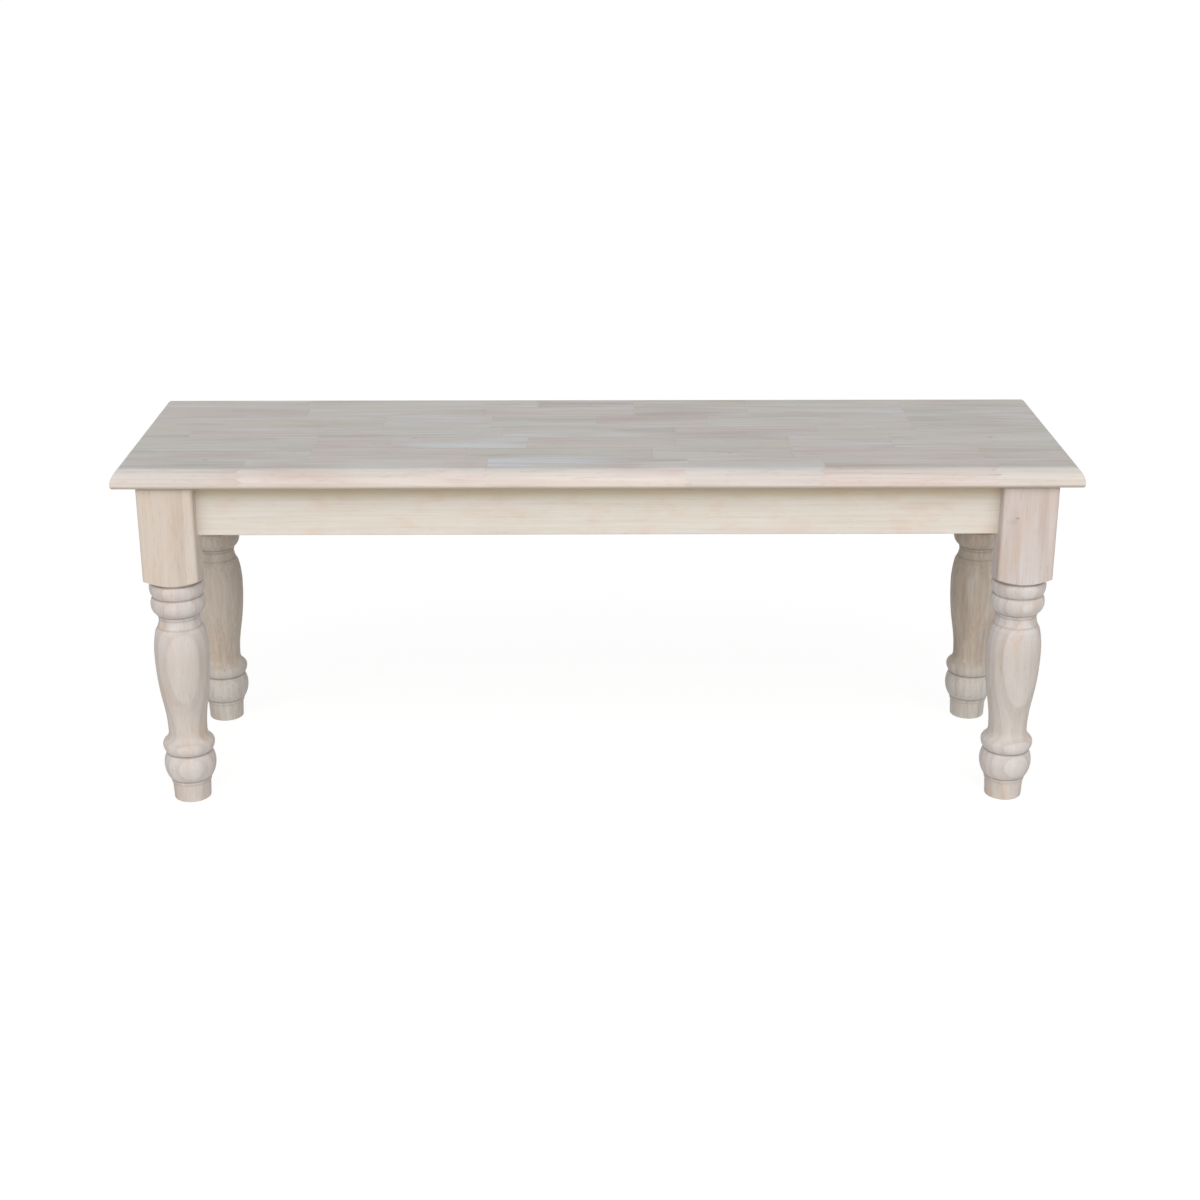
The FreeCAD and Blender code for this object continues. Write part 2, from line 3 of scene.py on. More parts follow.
import math

import bpy
from bpy.props import FloatProperty, FloatVectorProperty, PointerProperty
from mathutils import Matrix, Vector


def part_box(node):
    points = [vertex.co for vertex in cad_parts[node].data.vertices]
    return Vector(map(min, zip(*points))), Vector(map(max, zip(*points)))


bl_info = {
    "name": "Dining Bench Finish",
    "version": (1, 0, 0),
    "blender": (4, 5, 0),
    "location": "View3D > Sidebar > Bench",
    "description": "Gives a dining bench its bare timber, its fasteners' zinc and a studio",
    "category": "Material",
}

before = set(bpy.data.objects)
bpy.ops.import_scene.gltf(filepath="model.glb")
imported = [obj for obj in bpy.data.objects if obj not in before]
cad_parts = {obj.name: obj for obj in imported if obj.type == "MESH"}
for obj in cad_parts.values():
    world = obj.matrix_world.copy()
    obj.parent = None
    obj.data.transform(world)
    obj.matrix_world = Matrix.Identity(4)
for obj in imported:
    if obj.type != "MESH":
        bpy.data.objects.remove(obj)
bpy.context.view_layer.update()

MM = 0.001

CORNERS = ("front_left", "front_right", "rear_right", "rear_left")
STAVES = 7
HARDWARE = ("hanger_bolts", "washers", "nuts", "corner_block_screws", "cleat_screws", "seat_screws")

# Blocks glued end to end in each stave, front stave first: tone and length in millimetres from the left end
STAVE_BLOCKS = (
    (("pale", 161), ("edge", 306), ("edge", 247), ("pale", 174), ("rosy", 214), ("grey", 108)),
    (("grey", 240), ("rosy", 198), ("grey", 237), ("pale", 177), ("rosy", 236), ("tan", 122)),
    (("grey", 238), ("rosy", 98), ("pale", 179), ("rosy", 191), ("tan", 146), ("pale", 134), ("grey", 224)),
    (("tan", 70), ("rosy", 168), ("grey", 243), ("pale", 225), ("rosy", 189), ("tan", 130), ("grey", 185)),
    (("tan", 320), ("pale", 139), ("grey", 146), ("rosy", 147), ("grey", 157), ("tan", 116), ("grey", 185)),
    (("rosy", 210), ("pale", 242), ("rosy", 203), ("tan", 156), ("pale", 214), ("grey", 185)),
    (("tan", 205), ("grey", 241), ("pale", 76), ("rosy", 133), ("tan", 156), ("grey", 214), ("tan", 185)),
)

# How strongly the whitish streaks show on the blocks of each tone
BLOCK_WASH = {"grey": 0.35, "tan": 0.3, "rosy": 0.45, "pale": 1.0, "edge": 1.0}

# Steps from stave to stave and block to block in a block's seed, and what stave and seed shift in the noise
STAVE_SEED_STEP = 0.37
BLOCK_SEED_STEP = 0.231
STAVE_NOISE_STEP = 7.0
SEED_NOISE_RANGE = 40.0

# Pith of a block's log: farthest to either side of the stave's middle, and least and most below its top
PITH_SIDE = 60 * MM
PITH_DEPTHS = (20 * MM, 70 * MM)

# Upright part of the seat's normal at which the flat top, the painted shade that darkens and cools the top,
# and the painted shade of the underside start and are full
FLAT_TOP = (0.85, 0.99)
PAINTED_TOP_SHADE = (0.2, 0.95)
PAINTED_UNDERSIDE_SHADE = (0.0, -0.5)

# Strength of the whitish streaks and of the fibres on the seat's rounded edges and on its flat top
SEAT_WASH = (0.15, 1.0)
SEAT_FIBRES = (0.14, 0.22)

# Pith of each leg's log: millimetres sideways and back from the leg's axis, how much it leans, and a seed
LEG_TIMBER = {
    "front_left": ((-19, 87.4), 0.0, 11.0),
    "front_right": ((-30, 97.6), 0.02, 12.0),
    "rear_right": ((-70, -40), 0.03, 17.0),
    "rear_left": ((74, -46), -0.03, 14.0),
}

# Tones of each leg by height in millimetres above the floor, blending from one to the next. The lightened
# bands on the front legs' balls and rings and the lit rear feet are painted light
LEG_TONES = {
    "front_left": (
        (28, "turning"), (36, "lightened"), (76, "lightened"), (92, "turning"), (200, "turning"), (245, "lightened"),
        (304, "lightened"), (309, "block")),
    "front_right": (
        (28, "turning"), (36, "lightened"), (76, "lightened"), (92, "pale_turning"), (200, "pale_turning"),
        (245, "lightened"), (304, "lightened"), (309, "pale_block"), (439, "rosy_block")),
    "rear_right": ((60, "lit_rear_feet"), (95, "rear_dark")),
    "rear_left": ((60, "lit_rear_feet"), (95, "rear")),
}

# Hollows of a leg, in millimetres above the floor, and how dark the painted shade in each is; the last is
# painted shade in the gap under the seat
GROOVES = (
    (25, 0.2), (30, 0.55), (67.3, 0.55), (244.5, 0.25), (256.7, 0.3), (261, 0.5), (286.1, 0.5),
    (305.4, 0.6), (437.5, 0.35))

# Small knots that show, by place and size in millimetres and how dark they are: four in the seat's top, and
# one in the front right leg's block with a faint stain beside it. Their shapes are squeezed along each axis
SEAT_KNOTS = (
    ((-494, -128, 463), 7, 0.5),
    ((-238, -29, 463), 6, 0.5),
    ((168, -101, 463), 6, 0.5),
    ((513, -29, 463), 7, 0.5),
)
SEAT_KNOT_SQUEEZE = (0.5, 1, 1)
BLOCK_KNOTS = (((525, -168, 397), 7, 0.6), ((521, -168, 392), 18, 0.16))
BLOCK_KNOT_SQUEEZE = (0.8, 1, 1.3)

# Seeds of the first apron, the first corner block and the first cleat
APRON_SEED = 3.0
CORNER_BLOCK_SEED = 21.0
CLEAT_SEED = 31.0

# How strongly each feature of the grain shows. The seat's fibres and wash follow SEAT_FIBRES and SEAT_WASH
GRAIN_DEPTHS = {
    "seat": {"Ring": 0.1, "Pore": 0.14, "Flush": 0.6},
    "apron": {"Ring": 0.06, "Fibre": 0.09, "Pore": 0.1, "Wash": 0.35, "Flush": 0.35},
    "front_leg": {"Ring": 0.17, "Fibre": 0.12, "Pore": 0.14, "Wash": 0.3, "Flush": 0.42},
    "rear_leg": {"Ring": 0.1, "Fibre": 0.26, "Pore": 0.2, "Wash": 0.45, "Flush": 0.35},
    "inner": {"Ring": 0.3, "Fibre": 0.15, "Pore": 0.18, "Wash": 0.2, "Flush": 0.3},
}

# Features of the grain to the metre, twice across it and once along it
WANDER = (16, 16, 3.2)
FIBRES = (620, 620, 7)
PORES = (520, 520, 55)
CLOUDS = (70, 70, 8)
STREAKS = (85, 85, 10)
PATCHES_ACROSS = 52.0
CLOUD_SEED = 20.0
PATCH_SEED = 50.0

# Values of its noise at which each feature starts and is full, and between which most of a noise lies
FIBRE_EDGE = (0.42, 0.75)
PORE_EDGE = (0.6, 0.72)
CLOUD_EDGE = (0.45, 0.75)
STREAK_EDGE = (0.48, 0.74)
PATCH_EDGE = (0.48, 0.72)
ZINC_EDGE = (0.4, 0.7)
NOISE_RANGE = (0.3, 0.7)

# Share of a year's ring at which the dark late wood starts and is full, and strength of the faintest year
LATE_START = 0.3
LATE_FULL = 0.92
FAINTEST_RING = 0.65

# Relief of the timber: how far pores and glue lines sink against the fibres, its strength and its depth
PORE_RELIEF = -0.8
GLUE_RELIEF = -0.6
RELIEF_STRENGTH = 0.25
RELIEF_DEPTH = 0.2 * MM

TIMBER_ROUGHNESS = (0.58, 0.72)
TIMBER_SPECULAR = 0.3
ZINC_ROUGHNESS = (0.28, 0.46)
ZINC_SPECULAR = 0.5
ZINC_CLOUDS = (180, 180, 180)

# Cosine of the angle from each light's middle at which it starts and is full. The front one is drawn out wide
KEY_EDGE = (0.75, 0.97)
KEY_SQUEEZE = (0.5, 1, 1)
REAR_EDGE = (0.35, 0.85)

# Width of the camera's sensor in millimetres
SENSOR_WIDTH = 36


def from_srgb(red, green, blue):
    """Linear colour of an everyday 0 to 255 one."""
    def linear(channel):
        value = channel / 255
        return value / 12.92 if value <= 0.04045 else ((value + 0.055) / 1.055) ** 2.4
    return linear(red), linear(green), linear(blue)


def colour(name, description, *srgb):
    """Setting for a colour, given from 0 to 255."""
    return FloatVectorProperty(
        name=name, description=description, subtype="COLOR", size=3, min=0, max=1, default=from_srgb(*srgb))


def share(name, description, default):
    """Setting from 0 to 1."""
    return FloatProperty(
        name=name, description=description, subtype="FACTOR", min=0, max=1, default=default)


def length(name, description, default):
    """Setting in metres."""
    return FloatProperty(name=name, description=description, unit="LENGTH", default=default, precision=4)


def angle(name, description, degrees):
    """Setting for an angle, given in degrees."""
    return FloatProperty(name=name, description=description, subtype="ANGLE", default=math.radians(degrees))


def level(name, description, default):
    """Setting for the strength of a light."""
    return FloatProperty(name=name, description=description, min=0, default=default)


# Settings

class SeatFinish(bpy.types.PropertyGroup):
    """Colours and joints of the seat's blocks."""
    grey: colour("Grey Blocks", "Colour of the plain blocks", 226, 219, 211)
    pale: colour("Pale Blocks", "Colour of the whitest blocks", 228, 220, 214)
    rosy: colour("Rosy Blocks", "Colour of the pinkish blocks", 228, 216, 210)
    tan: colour("Tan Blocks", "Colour of the brownest blocks", 226, 217, 208)
    edge: colour("Edge Blocks", "Colour of the lightest blocks, at the front edge", 231, 221, 214)
    stain: colour("Stain", "Colour of growth rings and pores", 150, 130, 114)
    wash: colour("Wash", "Colour of the whitish streaks", 240, 239, 243)
    flush: colour("Flush", "Colour of the warm patches", 222, 199, 192)
    # Painted shade: the underside colour darkens the seat's downward-facing surfaces, where little light
    # falls
    underside: colour("Underside", "Colour of the unwashed underside", 184, 168, 148)
    underside_strength: share("Underside Strength", "How much the underside takes its own colour", 0.75)
    glue: colour("Glue Lines", "Colour of the joints between blocks, and of knots", 128, 108, 90)
    glue_strength: share("Glue Strength", "How strongly the glue lines show", 0.16)
    # Painted shade: this tint makes the seat's flat top darker and cooler than its edges
    painted_top_tint: colour("Shaded Top", "Tint of the top, greyer than the edges", 238, 245, 249)
    ring_spacing: length("Ring Spacing", "Distance between growth rings", 6 * MM)
    finger_length: length("Finger Length", "Length of the fingers that join two blocks", 9 * MM)
    finger_pitch: length("Finger Pitch", "Height of one finger", 4 * MM)
    glue_width: length("Glue Width", "Width of a glue line", 0.5 * MM)


class ApronFinish(bpy.types.PropertyGroup):
    """Colours of the four aprons."""
    base: colour("Timber", "Colour of the aprons", 227, 221, 212)
    stain: colour("Stain", "Colour of growth rings and pores", 166, 140, 108)
    wash: colour("Wash", "Colour of the whitish streaks", 230, 227, 222)
    flush: colour("Flush", "Colour of the warm patches", 222, 196, 178)
    ring_spacing: length("Ring Spacing", "Distance between growth rings", 7 * MM)
    # Painted shade: this colour darkens a band of the apron close under the seat, standing in for the shade
    # under the overhang
    joint: colour("Joint Shade", "Colour of the stain close under the seat", 191, 169, 112)
    seat_shade_share: share("Shade Strength", "How strong the stain is close under the seat", 0.45)
    seat_shade_start: length("Shade Start", "Distance below the seat at which the stain begins", 28 * MM)
    seat_shade_full: length("Shade Full", "Distance below the seat at which the stain is full", 10 * MM)


class LegFinish(bpy.types.PropertyGroup):
    """Colours of the turned legs."""
    turning: colour("Turning", "Colour of the front left leg's turned part", 212, 204, 197)
    pale_turning: colour("Pale Turning", "Colour of the front right leg's turned part", 214, 208, 202)
    # Painted light: this tone brightens the front legs' balls and the rings under the block
    lightened: colour("Lightened Turning", "Colour of the front legs' whiter rings and balls", 219, 213, 210)
    block: colour("Block", "Colour of the front left leg's square block", 217, 206, 194)
    pale_block: colour("Pale Block", "Colour low on the front right leg's square block", 217, 208, 205)
    rosy_block: colour("Rosy Block", "Colour high on the front right leg's square block", 212, 200, 193)
    rear: colour("Rear Left Leg", "Colour of the rear left leg", 208, 199, 187)
    rear_dark: colour("Rear Right Leg", "Colour of the rear right leg", 200, 189, 175)
    # Painted light: the rear legs lighter near the floor
    lit_rear_feet: colour("Rear Feet", "Colour of the rear legs near the floor", 214, 210, 203)
    stain: colour("Stain", "Colour of growth rings, pores and the knot", 148, 124, 108)
    wash: colour("Wash", "Colour of the whitish streaks", 221, 220, 223)
    flush: colour("Flush", "Colour of the warm patches", 214, 187, 163)
    groove: colour("Grooves", "Colour of the shaded hollows of the turning", 118, 103, 92)
    ring_spacing: length("Ring Spacing", "Distance between growth rings", 9.2 * MM)
    groove_width: length("Groove Width", "Height of a shaded hollow to each side of its middle", 2.4 * MM)


class InnerFinish(bpy.types.PropertyGroup):
    """Colours of the corner blocks and cleats."""
    base: colour("Timber", "Colour of the inner pieces", 212, 194, 168)
    stain: colour("Stain", "Colour of growth rings and pores", 140, 108, 78)
    wash: colour("Wash", "Colour of the whitish streaks", 220, 208, 190)
    flush: colour("Flush", "Colour of the warm patches", 196, 164, 128)
    ring_spacing: length("Ring Spacing", "Distance between growth rings", 5 * MM)


class HardwareFinish(bpy.types.PropertyGroup):
    """Colours of the zinc-plated fasteners."""
    bright: colour("Bright Zinc", "Colour of clean plating", 205, 207, 210)
    dull: colour("Dull Zinc", "Colour of clouded plating", 158, 160, 163)


class Studio(bpy.types.PropertyGroup):
    """Floor, light and camera."""
    floor_size: length("Floor Size", "Side of the floor", 120)
    floor_white: share("Floor White", "How much of the seen floor glows white and takes no shadow", 0.905)
    floor_shadow: share("Floor Shadow", "How much of the seen floor takes light and shadow", 0.16)
    floor_bounce: share("Floor Bounce", "How much light the floor throws back up", 0.75)
    fill: colour("Fill", "Tint of the dim light all round", 230, 241, 255)
    fill_strength: level("Fill Strength", "Level of the dim light all round", 0.1)
    key: colour("Key", "Tint of the broad lights in front and behind", 255, 250, 244)
    key_strength: level("Key Strength", "Level at the middle of the front light", 2.45)
    key_height: angle("Key Height", "How high the front light stands", 37)
    rear_strength: level("Rear Strength", "Level that the rear light adds at its middle", 0.65)
    rear_height: angle("Rear Height", "How high the rear light stands", 10)
    camera_place: FloatVectorProperty(
        name="Camera Place", description="Where the camera stands", subtype="TRANSLATION", unit="LENGTH",
        default=(-0.0137, -2.5148, 1.1643))
    camera_tilt: angle("Camera Tilt", "Angle below level", 20.447)
    camera_turn: angle("Camera Turn", "Angle about the vertical", -0.385)
    camera_lens: FloatProperty(
        name="Camera Lens", description="Focal length in millimetres", subtype="DISTANCE_CAMERA",
        default=59.166)


class BenchFinish(bpy.types.PropertyGroup):
    """All settings of the bench."""
    seat: PointerProperty(type=SeatFinish, name="Seat", description="Finish of the seat's staves")
    apron: PointerProperty(type=ApronFinish, name="Aprons", description="Finish of the four aprons")
    leg: PointerProperty(type=LegFinish, name="Legs", description="Finish of the turned legs")
    inner: PointerProperty(
        type=InnerFinish, name="Inner Pieces", description="Finish of the corner blocks and cleats")
    hardware: PointerProperty(type=HardwareFinish, name="Hardware", description="Finish of the fasteners")
    studio: PointerProperty(type=Studio, name="Studio", description="Floor, light and camera")


# Nodes

class Wiring:
    """Adds nodes to one tree and links them as they are made."""

    def __init__(self, tree):
        self.tree = tree
        tree.nodes.clear()

    def connect(self, socket, given):
        """Link a socket to another, or set its value."""
        if isinstance(given, bpy.types.NodeSocket):
            self.tree.links.new(given, socket)
        else:
            socket.default_value = given

    def node(self, kind, inputs=None, **settings):
        """Add a node, set it up, and link or set the inputs given by name or number."""
        made = self.tree.nodes.new(kind)
        made.location = (220 * (len(self.tree.nodes) % 8), -260 * (len(self.tree.nodes) // 8))
        for name, setting in settings.items():
            setattr(made, name, setting)
        for key, given in (inputs or {}).items():
            self.connect(made.inputs[key], given)
        return made

    def math(self, operation, first, second=0.0, third=0.0):
        inputs = {0: first, 1: second, 2: third}
        return self.node("ShaderNodeMath", inputs, operation=operation).outputs[0]

    def vector(self, operation, first, second=(0, 0, 0)):
        return self.node("ShaderNodeVectorMath", {0: first, 1: second}, operation=operation).outputs[0]

    def scale(self, vector, factor):
        inputs = {0: vector, "Scale": factor}
        return self.node("ShaderNodeVectorMath", inputs, operation="SCALE").outputs[0]

    def length(self, vector):
        return self.node("ShaderNodeVectorMath", {0: vector}, operation="LENGTH").outputs["Value"]

    def dot(self, first, second):
        inputs = {0: first, 1: second}
        return self.node("ShaderNodeVectorMath", inputs, operation="DOT_PRODUCT").outputs["Value"]

    def parts(self, vector):
        """The X, Y and Z of a vector."""
        return self.node("ShaderNodeSeparateXYZ", {0: vector}).outputs

    def join(self, *parts):
        """A vector from its X, Y and, if given, Z."""
        return self.node("ShaderNodeCombineXYZ", dict(enumerate(parts))).outputs[0]

    def spread(self, value, low, high, to_low=0.0, to_high=1.0):
        """Ease a value from one range to another."""
        inputs = {"Value": value, "From Min": low, "From Max": high, "To Min": to_low, "To Max": to_high}
        return self.node("ShaderNodeMapRange", inputs, interpolation_type="SMOOTHSTEP").outputs[0]

    def mix(self, factor, first, second, blend="MIX"):
        """Blend two colours."""
        made = self.node("ShaderNodeMix", data_type="RGBA", blend_type=blend)
        colours = [socket for socket in made.inputs if socket.type == "RGBA"]
        self.connect(made.inputs[0], factor)
        self.connect(colours[0], first)
        self.connect(colours[1], second)
        return next(socket for socket in made.outputs if socket.type == "RGBA")

    def noise(self, place, stretch, seed, detail):
        """Noise with a number of features to the metre along each axis."""
        vector = self.vector("MULTIPLY", place, stretch)
        inputs = {"Vector": vector, "W": seed, "Scale": 1.0, "Detail": detail}
        return self.node("ShaderNodeTexNoise", inputs, noise_dimensions="4D")

    def ramp(self, value, interpolation, stops):
        """Colour and alpha by value, from stops of a place and a colour."""
        made = self.node("ShaderNodeValToRGB", {"Fac": value})
        elements = made.color_ramp.elements
        made.color_ramp.interpolation = interpolation
        elements.remove(elements[1])
        for index, (place, tone) in enumerate(stops):
            stop = elements.new(place) if index else elements[0]
            stop.position = place
            stop.color = tone
        return made.outputs


# Inputs that the timber passes on to its grain: name, kind and default
GRAIN_INPUTS = (
    ("Vector", "Vector", (0, 0, 0)),
    ("Pith", "Vector", (0, 0, 0)),
    ("Lean", "Vector", (0, 0, 0)),
    ("Ring Spacing", "Float", 6 * MM),
    ("Waver", "Float", 10 * MM),
    ("Streak Scale", "Float", 1.0),
    ("Patch Run", "Float", 8.0),
    ("Seed", "Float", 0.0),
)


def new_group(name, inputs, outputs):
    """Start a shader node group with named sockets: (name, kind, default) and (name, kind)."""
    group = bpy.data.node_groups.new(name, "ShaderNodeTree")
    for label, kind, default in inputs:
        socket = group.interface.new_socket(label, in_out="INPUT", socket_type=f"NodeSocket{kind}")
        socket.default_value = default
    for label, kind in outputs:
        group.interface.new_socket(label, in_out="OUTPUT", socket_type=f"NodeSocket{kind}")
    wiring = Wiring(group)
    source = wiring.node("NodeGroupInput").outputs
    sink = wiring.node("NodeGroupOutput").inputs
    return group, wiring, source, sink


def grain_group():
    """Solid timber with its grain along Z: rings about a leaning pith, fibres, pores, streaks and patches."""
    features = ("Rings", "Fibre", "Pores", "Cloud", "Streaks", "Patches")
    group, wiring, source, sink = new_group(
        "Timber Grain", GRAIN_INPUTS, [(feature, "Float") for feature in features])
    place = source["Vector"]
    seed = source["Seed"]

    wander = wiring.noise(place, WANDER, seed, detail=1.0).outputs["Color"]
    wander = wiring.vector("SUBTRACT", wander, (0.5, 0.5, 0.5))
    wander = wiring.scale(wander, source["Waver"])
    drift = wiring.scale(source["Lean"], wiring.parts(place)["Z"])
    across = wiring.vector("SUBTRACT", wiring.vector("SUBTRACT", place, source["Pith"]), drift)
    across = wiring.vector("MULTIPLY", wiring.vector("ADD", across, wander), (1, 1, 0))
    count = wiring.math("DIVIDE", wiring.length(across), source["Ring Spacing"])
    age = wiring.math("FRACT", count)
    year = wiring.math("ADD", wiring.math("FLOOR", count), seed)
    growth = wiring.node("ShaderNodeTexWhiteNoise", {"W": year}, noise_dimensions="1D").outputs["Value"]
    late = wiring.spread(age, LATE_START, LATE_FULL)
    early = wiring.spread(age, LATE_FULL, 1.0, 1.0, 0.0)
    ring = wiring.math("MULTIPLY", late, early)
    strength = wiring.spread(growth, 0.0, 1.0, FAINTEST_RING, 1.0)
    wiring.connect(sink["Rings"], wiring.math("MULTIPLY", ring, strength))

    fibre = wiring.noise(place, FIBRES, seed, detail=3.0).outputs["Fac"]
    wiring.connect(sink["Fibre"], fibre)
    pores = wiring.noise(place, PORES, seed, detail=1.0).outputs["Fac"]
    wiring.connect(sink["Pores"], wiring.spread(pores, *PORE_EDGE))
    broad = wiring.scale(place, source["Streak Scale"])
    cloud_seed = wiring.math("ADD", seed, CLOUD_SEED)
    cloud = wiring.noise(broad, CLOUDS, cloud_seed, detail=2.0).outputs["Fac"]
    wiring.connect(sink["Cloud"], wiring.spread(cloud, *CLOUD_EDGE))
    streaks = wiring.noise(broad, STREAKS, seed, detail=2.0).outputs["Fac"]
    wiring.connect(sink["Streaks"], wiring.spread(streaks, *STREAK_EDGE))
    patch_size = wiring.join(PATCHES_ACROSS, PATCHES_ACROSS, source["Patch Run"])
    patch_seed = wiring.math("ADD", seed, PATCH_SEED)
    patches = wiring.noise(place, patch_size, patch_seed, detail=3.0).outputs["Fac"]
    wiring.connect(sink["Patches"], wiring.spread(patches, *PATCH_EDGE))
    return group


def bare_timber_group(grain):
    """Colour, roughness and relief of sanded, unfinished timber."""
    group, wiring, source, sink = new_group(
        "Bare Timber",
        [*GRAIN_INPUTS,
         ("Base", "Color", (1, 1, 1, 1)), ("Stain", "Color", (0, 0, 0, 1)),
         ("Wash", "Color", (1, 1, 1, 1)), ("Flush", "Color", (1, 1, 1, 1)),
         ("Ring Depth", "Float", 0.1), ("Fibre Depth", "Float", 0.1), ("Pore Depth", "Float", 0.1),
         ("Wash Depth", "Float", 0.2), ("Flush Depth", "Float", 0.2)],
        [("Color", "Color"), ("Roughness", "Float"), ("Height", "Float")])
    timber = wiring.node("ShaderNodeGroup", node_tree=grain)
    for key in timber.inputs.keys():
        wiring.connect(timber.inputs[key], source[key])
    fibre = timber.outputs["Fibre"]
    pores = timber.outputs["Pores"]

    dark = wiring.math("MULTIPLY", timber.outputs["Rings"], source["Ring Depth"])
    dark = wiring.math("MULTIPLY_ADD", wiring.spread(fibre, *FIBRE_EDGE), source["Fibre Depth"], dark)
    dark = wiring.math("MULTIPLY_ADD", pores, source["Pore Depth"], dark)
    dark = wiring.math("MULTIPLY_ADD", timber.outputs["Cloud"], source["Fibre Depth"], dark)
    flushed = wiring.math("MULTIPLY", timber.outputs["Patches"], source["Flush Depth"])
    tone = wiring.mix(flushed, source["Base"], source["Flush"])
    lightened = wiring.math("MULTIPLY", timber.outputs["Streaks"], source["Wash Depth"])
    tone = wiring.mix(lightened, tone, source["Wash"])
    wiring.connect(sink["Color"], wiring.mix(dark, tone, source["Stain"]))
    wiring.connect(sink["Roughness"], wiring.spread(fibre, *NOISE_RANGE, *TIMBER_ROUGHNESS))
    wiring.connect(sink["Height"], wiring.math("MULTIPLY_ADD", pores, PORE_RELIEF, fibre))
    return group


def groove_group(width):
    """Shade in the hollows of a leg's turning, by height above the floor."""
    group, wiring, source, sink = new_group(
        "Turning Grooves", [("Height", "Float", 0.0)], [("Shade", "Float")])
    shade = 0.0
    for height, depth in GROOVES:
        away = wiring.math("ABSOLUTE", wiring.math("SUBTRACT", source["Height"], height * MM))
        shade = wiring.math("MAXIMUM", shade, wiring.spread(away, 0.0, width, depth, 0.0))
    wiring.connect(sink["Shade"], shade)
    return group


def shared_timber():
    """The timber group, made the first time it is asked for."""
    return bpy.data.node_groups.get("Bare Timber") or bare_timber_group(grain_group())


def shared_grooves(width):
    """The groove group, made the first time it is asked for."""
    return bpy.data.node_groups.get("Turning Grooves") or groove_group(width)


# Materials

def new_material(name):
    """Start a material with an empty node tree."""
    material = bpy.data.materials.new(name)
    material.use_nodes = True
    return material, Wiring(material.node_tree)


def finish_material(wiring, inputs, specular):
    """Close a material with its shader and output."""
    shader = wiring.node("ShaderNodeBsdfPrincipled", inputs)
    shader.inputs["Specular IOR Level"].default_value = specular
    wiring.node("ShaderNodeOutputMaterial", {"Surface": shader.outputs[0]})


def object_place(wiring):
    """The surface's place on the bench."""
    return wiring.node("ShaderNodeTexCoord").outputs["Object"]


def knot_mask(wiring, place, knots, squeeze):
    """Dark spots where small knots lie."""
    mask = 0.0
    for middle, size, strength in knots:
        away = wiring.vector("SUBTRACT", place, Vector(middle) * MM)
        reach = wiring.length(wiring.vector("MULTIPLY", away, squeeze))
        mask = wiring.math("MAXIMUM", mask, wiring.spread(reach, 0.0, size * MM / 2, strength, 0.0))
    return mask


def timber_shader(wiring, finish, kind, **inputs):
    """Add the shared timber to a material, with the colours of a finish and the depths of a kind of piece."""
    timber = wiring.node("ShaderNodeGroup", node_tree=shared_timber())
    inputs["Stain"] = (*finish.stain, 1)
    inputs["Wash"] = (*finish.wash, 1)
    inputs["Flush"] = (*finish.flush, 1)
    inputs["Ring_Spacing"] = finish.ring_spacing
    for key, given in inputs.items():
        wiring.connect(timber.inputs[key.replace("_", " ")], given)
    for feature, depth in GRAIN_DEPTHS[kind].items():
        timber.inputs[f"{feature} Depth"].default_value = depth
    return timber


def finish_timber(wiring, tone, timber, height):
    """Close a timber material with its colour, roughness and fine relief."""
    bump = {"Height": height, "Strength": RELIEF_STRENGTH, "Distance": RELIEF_DEPTH}
    normal = wiring.node("ShaderNodeBump", bump).outputs[0]
    inputs = {"Base Color": tone, "Roughness": timber.outputs["Roughness"], "Normal": normal}
    finish_material(wiring, inputs, TIMBER_SPECULAR)


def stave_layout(number, finish, left_end, bench_length):
    """Ramp stops with each block's tone and seed, others with its wash, and the places of the joints."""
    tones = []
    washes = []
    joints = []
    start = 0
    for index, (tone, run) in enumerate(STAVE_BLOCKS[number - 1]):
        seed = (number * STAVE_SEED_STEP + index * BLOCK_SEED_STEP) % 1
        place = start * MM / bench_length
        tones.append((place, (*getattr(finish, tone), seed)))
        washes.append((place, (*[BLOCK_WASH[tone]] * 3, 1)))
        if index:
            joints.append(left_end + start * MM)
        start += run
    return tones, washes, joints


